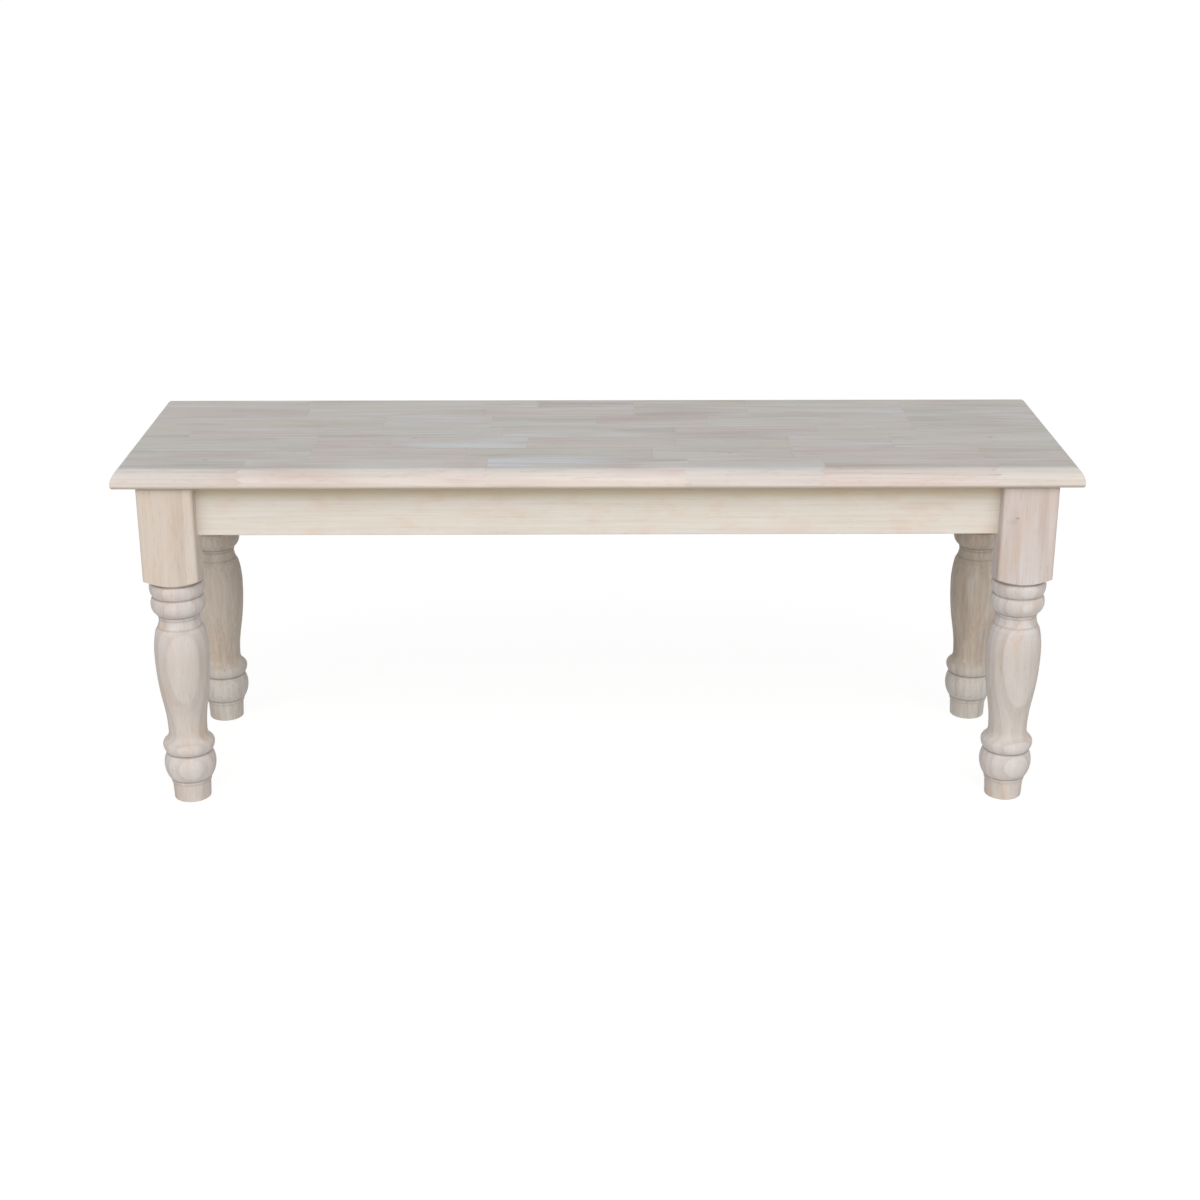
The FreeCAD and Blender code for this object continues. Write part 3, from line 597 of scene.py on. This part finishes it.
def seat_material(number, finish):
    """Blocks of several tones along one stave, each with its own grain, and the glue lines round them."""
    low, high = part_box(f"seat_stave_{number}")
    bench_length = high.x - low.x
    material, wiring = new_material(f"seat_stave_{number}_timber")
    place = object_place(wiring)
    parts = wiring.parts(place)

    zigzag = wiring.math("PINGPONG", parts["Z"], finish.finger_pitch)
    fingers = wiring.math("MULTIPLY", zigzag, finish.finger_length / finish.finger_pitch)
    along = wiring.math("ADD", parts["X"], fingers)
    run = wiring.math("DIVIDE", wiring.math("SUBTRACT", along, low.x), bench_length)
    tones, washes, joints = stave_layout(number, finish, low.x, bench_length)
    blocks = wiring.ramp(run, "CONSTANT", tones)
    block_wash = wiring.ramp(run, "CONSTANT", washes)["Color"]
    seed = blocks["Alpha"]

    sideways = wiring.math("SUBTRACT", parts["Y"], (low.y + high.y) / 2)
    depth = wiring.math("SUBTRACT", parts["Z"], high.z)
    least, most = PITH_DEPTHS
    pith_side = wiring.math("MULTIPLY_ADD", seed, 2 * PITH_SIDE, -PITH_SIDE)
    pith_depth = wiring.math("MULTIPLY_ADD", seed, least - most, -least)
    timber = timber_shader(
        wiring, finish, "seat", Vector=wiring.join(sideways, depth, parts["X"]), Base=blocks["Color"],
        Pith=wiring.join(pith_side, pith_depth), Waver=20 * MM, Streak_Scale=0.42, Patch_Run=9.0,
        Seed=wiring.math("MULTIPLY_ADD", seed, SEED_NOISE_RANGE, number * STAVE_NOISE_STEP))
    upright = wiring.parts(wiring.node("ShaderNodeNewGeometry").outputs["Normal"])["Z"]
    top_wash = wiring.spread(upright, *FLAT_TOP, *SEAT_WASH)
    wiring.connect(timber.inputs["Wash Depth"], wiring.math("MULTIPLY", block_wash, top_wash))
    wiring.connect(timber.inputs["Fibre Depth"], wiring.spread(upright, *FLAT_TOP, *SEAT_FIBRES))

    line = 0.0
    for joint in joints:
        line = wiring.math("MAXIMUM", line, wiring.math("COMPARE", along, joint, finish.glue_width / 2))
    for edge in ([low.y] if number > 1 else []) + ([high.y] if number < STAVES else []):
        line = wiring.math("MAXIMUM", line, wiring.math("COMPARE", parts["Y"], edge, finish.glue_width / 2))
    glued = wiring.math("MULTIPLY", line, finish.glue_strength)
    tone = wiring.mix(glued, timber.outputs["Color"], (*finish.glue, 1))
    knots = [knot for knot in SEAT_KNOTS if low.y < knot[0][1] * MM < high.y]
    if knots:
        tone = wiring.mix(knot_mask(wiring, place, knots, SEAT_KNOT_SQUEEZE), tone, (*finish.glue, 1))
    # Painted shade: the top darker and cooler than the rounded edges
    tone = wiring.mix(wiring.spread(upright, *PAINTED_TOP_SHADE), tone, (*finish.painted_top_tint, 1), "MULTIPLY")
    # Painted shade on the downward-facing nose and underside
    below = wiring.spread(upright, *PAINTED_UNDERSIDE_SHADE, 0.0, finish.underside_strength)
    tone = wiring.mix(below, tone, (*finish.underside, 1))
    height = wiring.math("MULTIPLY_ADD", line, GLUE_RELIEF, timber.outputs["Height"])
    finish_timber(wiring, tone, timber, height)
    return material


def board(name, finish, kind, grain_axis, turn=0.0, **inputs):
    """Start the material of one piece, with its grain along an axis after a turn about the vertical."""
    low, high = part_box(name)
    material, wiring = new_material(f"{name}_timber")
    whole = object_place(wiring)
    place = wiring.vector("SUBTRACT", whole, (low + high) / 2)
    if turn:
        turning = {"Vector": place, "Angle": turn}
        place = wiring.node("ShaderNodeVectorRotate", turning, rotation_type="Z_AXIS").outputs[0]
    parts = wiring.parts(place)
    order = {"X": ("Y", "Z", "X"), "Y": ("X", "Z", "Y"), "Z": ("X", "Y", "Z")}[grain_axis]
    grain_place = wiring.join(*(parts[axis] for axis in order))
    timber = timber_shader(wiring, finish, kind, Vector=grain_place, Waver=12 * MM, **inputs)
    return material, wiring, whole, timber


def apron_material(name, finish, grain_axis, seed):
    """Mottled board, with painted shade close under the seat."""
    material, wiring, place, timber = board(
        name, finish, "apron", grain_axis, Base=(*finish.base, 1), Pith=(-50 * MM, -90 * MM, 0),
        Patch_Run=28.0, Seed=seed)
    seat_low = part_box("seat_stave_1")[0].z
    start = seat_low - finish.seat_shade_start
    full = seat_low - finish.seat_shade_full
    # Painted shade close under the seat's overhang
    painted_shade_share = wiring.spread(wiring.parts(place)["Z"], start, full, 0.0, finish.seat_shade_share)
    tone = wiring.mix(painted_shade_share, timber.outputs["Color"], (*finish.joint, 1))
    finish_timber(wiring, tone, timber, timber.outputs["Height"])
    return material


def leg_material(corner, finish):
    """Timber of a leg: its block, its turning and the shade in the hollows."""
    name = f"leg_{corner}"
    leg_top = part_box(name)[1].z
    kind = "rear_leg" if "rear" in corner else "front_leg"
    pith, lean, seed = LEG_TIMBER[corner]
    pith = Vector((*pith, 0)) * MM
    material, wiring, place, timber = board(
        name, finish, kind, "Z", Pith=pith, Lean=pith.normalized() * lean, Patch_Run=12.0, Seed=seed)
    height = wiring.parts(place)["Z"]
    # Tone bands by height, some of them painted light on the rings, balls and rear feet
    stops = [(up * MM / leg_top, (*getattr(finish, tone), 1)) for up, tone in LEG_TONES[corner]]
    tones = wiring.ramp(wiring.math("DIVIDE", height, leg_top), "LINEAR", stops)
    wiring.connect(timber.inputs["Base"], tones["Color"])
    grooves = wiring.node(
        "ShaderNodeGroup", {"Height": height}, node_tree=shared_grooves(finish.groove_width))
    # Painted shade in the hollows and in the gap under the seat
    tone = wiring.mix(grooves.outputs["Shade"], timber.outputs["Color"], (*finish.groove, 1))
    if corner == "front_right":
        knot = knot_mask(wiring, place, BLOCK_KNOTS, BLOCK_KNOT_SQUEEZE)
        tone = wiring.mix(knot, tone, (*finish.stain, 1))
    finish_timber(wiring, tone, timber, timber.outputs["Height"])
    return material


def inner_material(name, finish, seed, turn=0.0):
    """Plain planed timber, grained along the piece."""
    material, wiring, _, timber = board(
        name, finish, "inner", "X", turn, Base=(*finish.base, 1), Pith=(20 * MM, -50 * MM, 0), Seed=seed)
    finish_timber(wiring, timber.outputs["Color"], timber, timber.outputs["Height"])
    return material


def zinc_material(finish):
    """Bright zinc plating with dull clouds."""
    material, wiring = new_material("zinc_plating")
    cloud = wiring.noise(object_place(wiring), ZINC_CLOUDS, 0.0, detail=3.0).outputs["Fac"]
    tone = wiring.mix(wiring.spread(cloud, *ZINC_EDGE), (*finish.bright, 1), (*finish.dull, 1))
    roughness = wiring.spread(cloud, *NOISE_RANGE, *ZINC_ROUGHNESS)
    finish_material(wiring, {"Base Color": tone, "Roughness": roughness, "Metallic": 1.0}, ZINC_SPECULAR)
    return material


def dress(node, material):
    """Give a CAD node its material."""
    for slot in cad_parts[node].material_slots:
        slot.material = material


# Studio

def seen_directly(wiring):
    """1 on rays that show the background: straight from the camera, mirrored or through glass."""
    path = wiring.node("ShaderNodeLightPath").outputs
    seen = wiring.math("MAXIMUM", path["Is Camera Ray"], path["Is Glossy Ray"])
    return wiring.math("MAXIMUM", seen, path["Is Transmission Ray"])


def floor_material(studio):
    """White floor that keeps the bench's shadow faintly where it is seen."""
    material, wiring = new_material("studio_floor")
    matt = wiring.node("ShaderNodeBsdfDiffuse", {"Color": (*[studio.floor_bounce] * 3, 1)})
    shadow = wiring.node("ShaderNodeBsdfDiffuse", {"Color": (*[studio.floor_shadow] * 3, 1)})
    glow = wiring.node("ShaderNodeEmission", {"Color": (1, 1, 1, 1), "Strength": studio.floor_white})
    seen = wiring.node("ShaderNodeAddShader", {0: shadow.outputs[0], 1: glow.outputs[0]})
    choice = {0: seen_directly(wiring), 1: matt.outputs[0], 2: seen.outputs[0]}
    both = wiring.node("ShaderNodeMixShader", choice)
    wiring.node("ShaderNodeOutputMaterial", {"Surface": both.outputs[0]})
    return material


def add_floor(studio):
    """Lay the floor under the bench."""
    half = studio.floor_size / 2
    mesh = bpy.data.meshes.new("studio_floor")
    corners = [(-half, -half, 0), (half, -half, 0), (half, half, 0), (-half, half, 0)]
    mesh.from_pydata(corners, [], [(0, 1, 2, 3)])
    mesh.materials.append(floor_material(studio))
    floor = bpy.data.objects.new("studio_floor", mesh)
    bpy.context.scene.collection.objects.link(floor)


def add_world(studio):
    """Dim light all round, with a broad bright area in front and a fainter one behind."""
    world = bpy.data.worlds.new("studio_light")
    world.use_nodes = True
    wiring = Wiring(world.node_tree)
    way = wiring.node("ShaderNodeTexCoord").outputs["Generated"]
    ahead = (0, -math.cos(studio.key_height), math.sin(studio.key_height))
    behind = (0, math.cos(studio.rear_height), math.sin(studio.rear_height))
    drawn_in = wiring.vector("NORMALIZE", wiring.vector("MULTIPLY", way, KEY_SQUEEZE))
    near_key = wiring.spread(wiring.dot(drawn_in, ahead), *KEY_EDGE)
    near_rear = wiring.spread(wiring.dot(way, behind), *REAR_EDGE)
    tint = wiring.mix(wiring.math("MAXIMUM", near_key, near_rear), (*studio.fill, 1), (*studio.key, 1))
    key_rise = studio.key_strength - studio.fill_strength
    strength = wiring.math("MULTIPLY_ADD", near_key, key_rise, studio.fill_strength)
    strength = wiring.math("MULTIPLY_ADD", near_rear, studio.rear_strength, strength)
    ambient = wiring.node("ShaderNodeBackground", {"Color": tint, "Strength": strength})
    white = wiring.node("ShaderNodeBackground", {"Color": (1, 1, 1, 1), "Strength": 1.0})
    choice = {0: seen_directly(wiring), 1: ambient.outputs[0], 2: white.outputs[0]}
    both = wiring.node("ShaderNodeMixShader", choice)
    wiring.node("ShaderNodeOutputWorld", {"Surface": both.outputs[0]})
    bpy.context.scene.world = world


def add_camera(studio):
    """Stand the camera at the photograph's viewing angle."""
    lens = bpy.data.cameras.new("photo_camera")
    lens.lens = studio.camera_lens
    lens.sensor_width = SENSOR_WIDTH
    lens.sensor_fit = "HORIZONTAL"
    camera = bpy.data.objects.new("photo_camera", lens)
    camera.location = studio.camera_place
    camera.rotation_euler = (math.radians(90) - studio.camera_tilt, 0, studio.camera_turn)
    bpy.context.scene.collection.objects.link(camera)
    bpy.context.scene.camera = camera


# Operators

class BENCH_OT_finish_seat(bpy.types.Operator):
    """Give the seat's staves their glued blocks"""
    bl_idname = "bench.finish_seat"
    bl_label = "Finish Seat"

    def execute(self, context):
        finish = context.scene.bench_finish.seat
        for number in range(1, STAVES + 1):
            dress(f"seat_stave_{number}", seat_material(number, finish))
        return {"FINISHED"}


class BENCH_OT_finish_aprons(bpy.types.Operator):
    """Give the aprons their timber"""
    bl_idname = "bench.finish_aprons"
    bl_label = "Finish Aprons"

    def execute(self, context):
        finish = context.scene.bench_finish.apron
        for index, (side, axis) in enumerate((("front", "X"), ("rear", "X"), ("left", "Y"), ("right", "Y"))):
            name = f"{side}_apron"
            dress(name, apron_material(name, finish, axis, APRON_SEED + index))
        return {"FINISHED"}


class BENCH_OT_finish_legs(bpy.types.Operator):
    """Give the turned legs their timber"""
    bl_idname = "bench.finish_legs"
    bl_label = "Finish Legs"

    def execute(self, context):
        finish = context.scene.bench_finish.leg
        for corner in CORNERS:
            dress(f"leg_{corner}", leg_material(corner, finish))
        return {"FINISHED"}


class BENCH_OT_finish_inner_pieces(bpy.types.Operator):
    """Give the corner blocks and cleats their timber"""
    bl_idname = "bench.finish_inner_pieces"
    bl_label = "Finish Inner Pieces"

    def execute(self, context):
        finish = context.scene.bench_finish.inner
        for index, corner in enumerate(CORNERS):
            name = f"corner_block_{corner}"
            turn = math.radians(45 if corner in ("front_left", "rear_right") else -45)
            dress(name, inner_material(name, finish, CORNER_BLOCK_SEED + index, turn))
        for index, name in enumerate(("front_cleat", "rear_cleat")):
            dress(name, inner_material(name, finish, CLEAT_SEED + index))
        return {"FINISHED"}


class BENCH_OT_finish_hardware(bpy.types.Operator):
    """Give the bolts, washers, nuts and screws their plating"""
    bl_idname = "bench.finish_hardware"
    bl_label = "Finish Hardware"

    def execute(self, context):
        zinc = zinc_material(context.scene.bench_finish.hardware)
        for name in HARDWARE:
            dress(name, zinc)
        return {"FINISHED"}


class BENCH_OT_set_stage(bpy.types.Operator):
    """Add the white floor, the soft light and the camera"""
    bl_idname = "bench.set_stage"
    bl_label = "Set Stage"

    def execute(self, context):
        studio = context.scene.bench_finish.studio
        add_floor(studio)
        add_world(studio)
        add_camera(studio)
        context.scene.view_settings.view_transform = "Standard"
        return {"FINISHED"}


# Panel and registration

class BENCH_PT_finish(bpy.types.Panel):
    """Steps and settings of the bench's finish"""
    bl_idname = "BENCH_PT_finish"
    bl_label = "Bench Finish"
    bl_space_type = "VIEW_3D"
    bl_region_type = "UI"
    bl_category = "Bench"

    def draw(self, context):
        settings = context.scene.bench_finish
        for name, operator in STEPS.items():
            box = self.layout.box()
            box.operator(operator.bl_idname)
            part = getattr(settings, name)
            for prop in part.bl_rna.properties:
                if prop.identifier not in ("rna_type", "name"):
                    box.prop(part, prop.identifier)


# Operators in the order they run, with the settings that each one reads
STEPS = {
    "seat": BENCH_OT_finish_seat,
    "apron": BENCH_OT_finish_aprons,
    "leg": BENCH_OT_finish_legs,
    "inner": BENCH_OT_finish_inner_pieces,
    "hardware": BENCH_OT_finish_hardware,
    "studio": BENCH_OT_set_stage,
}
CLASSES = (SeatFinish, ApronFinish, LegFinish, InnerFinish, HardwareFinish, Studio, BenchFinish,
           *STEPS.values(), BENCH_PT_finish)


def register():
    for item in CLASSES:
        bpy.utils.register_class(item)
    bpy.types.Scene.bench_finish = PointerProperty(
        type=BenchFinish, name="Bench Finish", description="Settings of the bench's finish")


def unregister():
    del bpy.types.Scene.bench_finish
    for item in reversed(CLASSES):
        bpy.utils.unregister_class(item)


def main():
    register()
    bpy.ops.bench.finish_seat()
    bpy.ops.bench.finish_aprons()
    bpy.ops.bench.finish_legs()
    bpy.ops.bench.finish_inner_pieces()
    bpy.ops.bench.finish_hardware()
    bpy.ops.bench.set_stage()


if __name__ == "__main__":
    main()
